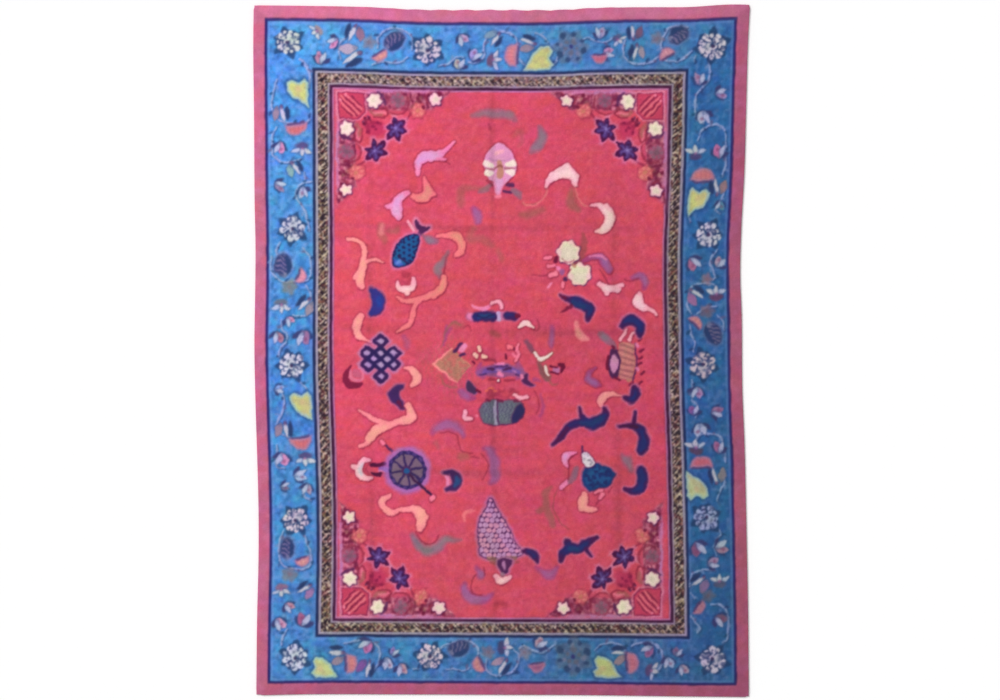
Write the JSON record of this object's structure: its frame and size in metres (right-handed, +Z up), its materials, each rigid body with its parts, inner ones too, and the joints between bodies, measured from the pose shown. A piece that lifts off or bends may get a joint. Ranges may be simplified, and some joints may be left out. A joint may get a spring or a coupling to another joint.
{
  "type": "chinese art deco rug",
  "caption": "Hand-knotted wool pile rug lying flat: a slightly uneven rectangle with a figured rose field, a blue flowered border and a plain rose edge.",
  "frame": {"origin": "centre of the rug's bounding rectangle, on its underside", "axes": "+X across the width, +Y along the length towards the top of the design, +Z up through the pile"},
  "size_m": [2.64, 3.6806, 0.012],
  "materials": {
    "wool_pile": "matte sheared wool pile with a soft sheen, rose ground with blue border and figured design"
  },
  "bodies": {
    "root": {"rug": "wool_pile"}
  },
  "joints": []
}
